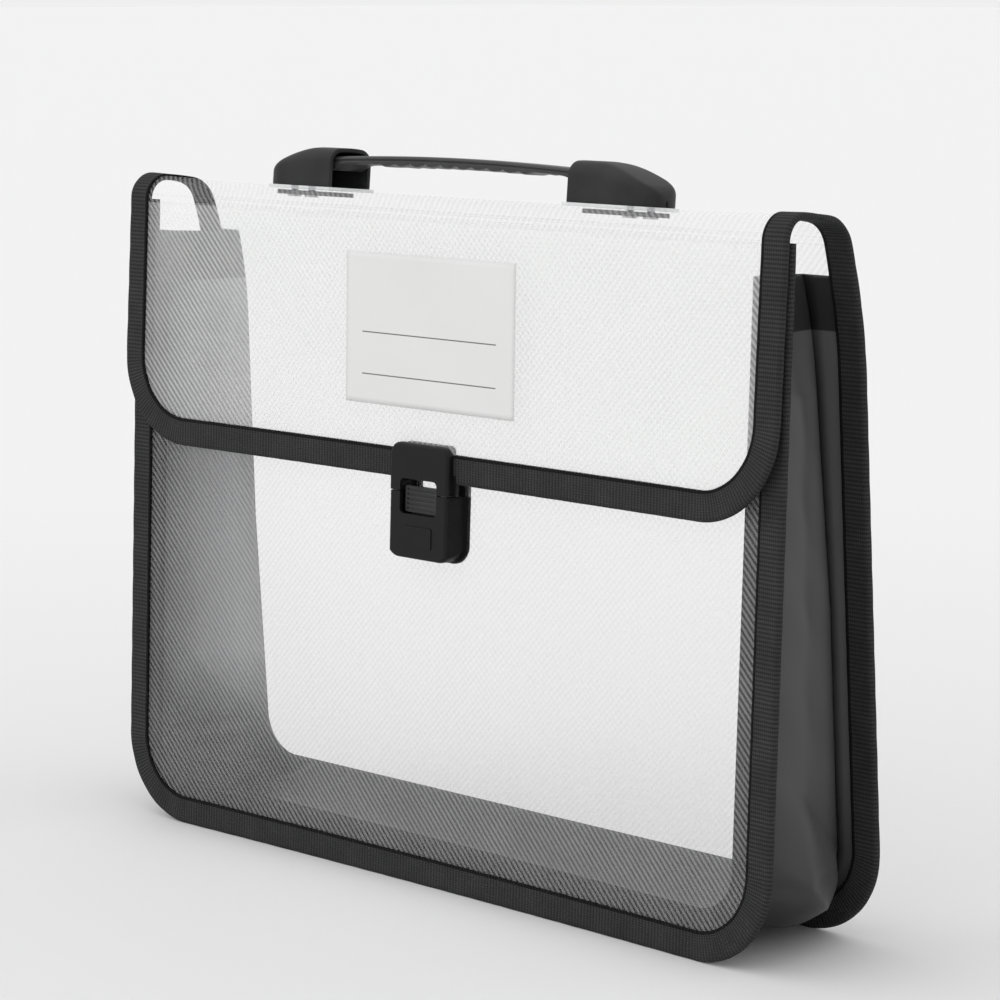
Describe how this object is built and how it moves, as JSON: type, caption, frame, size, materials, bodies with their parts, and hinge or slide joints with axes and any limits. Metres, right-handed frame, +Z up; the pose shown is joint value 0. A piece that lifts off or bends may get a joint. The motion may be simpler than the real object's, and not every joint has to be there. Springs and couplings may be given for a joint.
{
  "type": "expanding file",
  "caption": "Translucent expanding file for A4 papers: bound panels joined by a folding film gusset, with a flap, a push latch and a strap handle.",
  "frame": {"origin": "on the floor, under the middle of the case's width and depth", "axes": "+X runs across the case to the right as seen from the front, +Y runs from the front to the back, +Z is up"},
  "size_m": [0.33, 0.0616, 0.2627],
  "materials": {
    "clear_sheet": "clear sheet with fine slanted ribs",
    "binding_tape": "black ribbed woven tape",
    "gusset_film": "dark soft film with a dull sheen",
    "label_card": "pale matt card with two thin lines",
    "fitting_plastic": "black fine-grained moulded plastic",
    "grip_plastic": "black soft moulded plastic",
    "inner_plastic": "dark plain moulded plastic",
    "clear_plastic": "clear moulded plastic",
    "screw_steel": "plated steel"
  },
  "bodies": {
    "back": {"back_sheet": "clear_sheet", "back_binding": "binding_tape", "gusset": "gusset_film"},
    "front": {"front_sheet": "clear_sheet", "front_binding": "binding_tape", "lock_base": "fitting_plastic", "lock_housing": "fitting_plastic", "lock_back_plate": "inner_plastic", "lock_rivets": "inner_plastic", "button_spring": "screw_steel"},
    "button": {"latch_button": "fitting_plastic"},
    "top": {"top_sheet": "clear_sheet", "top_binding_left": "binding_tape", "top_binding_right": "binding_tape", "handle_base_left": "clear_plastic", "handle_base_right": "clear_plastic", "handle_cap_left": "fitting_plastic", "handle_cap_right": "fitting_plastic", "handle_back_plate_left": "inner_plastic", "handle_back_plate_right": "inner_plastic", "handle_screws": "screw_steel"},
    "grip": {"handle_grip": "grip_plastic"},
    "flap": {"flap_sheet": "clear_sheet", "flap_binding": "binding_tape", "label": "label_card", "hasp_cover": "fitting_plastic", "hasp_back_plate": "inner_plastic", "hasp_rivets": "inner_plastic"}
  },
  "joints": [
    {"name": "collapse", "type": "hinge", "parent": "back", "child": "front", "pos_m": [0, -0.0035, 0.43], "axis": [1, 0, 0], "range_deg": [0, 6.4], "deforming": ["gusset"]},
    {"name": "top_lift", "type": "hinge", "parent": "back", "child": "top", "pos_m": [0, 0.00818, 0.23957], "axis": [-1, 0, 0], "range_deg": [0, 150]},
    {"name": "flap_lift", "type": "hinge", "parent": "top", "child": "flap", "pos_m": [0, -0.02525, 0.24112], "axis": [-1, 0, 0], "range_deg": [0, 160]},
    {"name": "button_push", "type": "slide", "parent": "front", "child": "button", "axis": [0, -0.0364, -0.9993], "range_m": [0, 0.002], "stiffness_N_per_m": 300, "springref_m": -0.002, "deforming": ["button_spring"]},
    {"name": "grip_slide", "type": "slide", "parent": "top", "child": "grip", "axis": [0, 0.1306, 0.9914], "range_m": [-0.006, 0]}
  ]
}
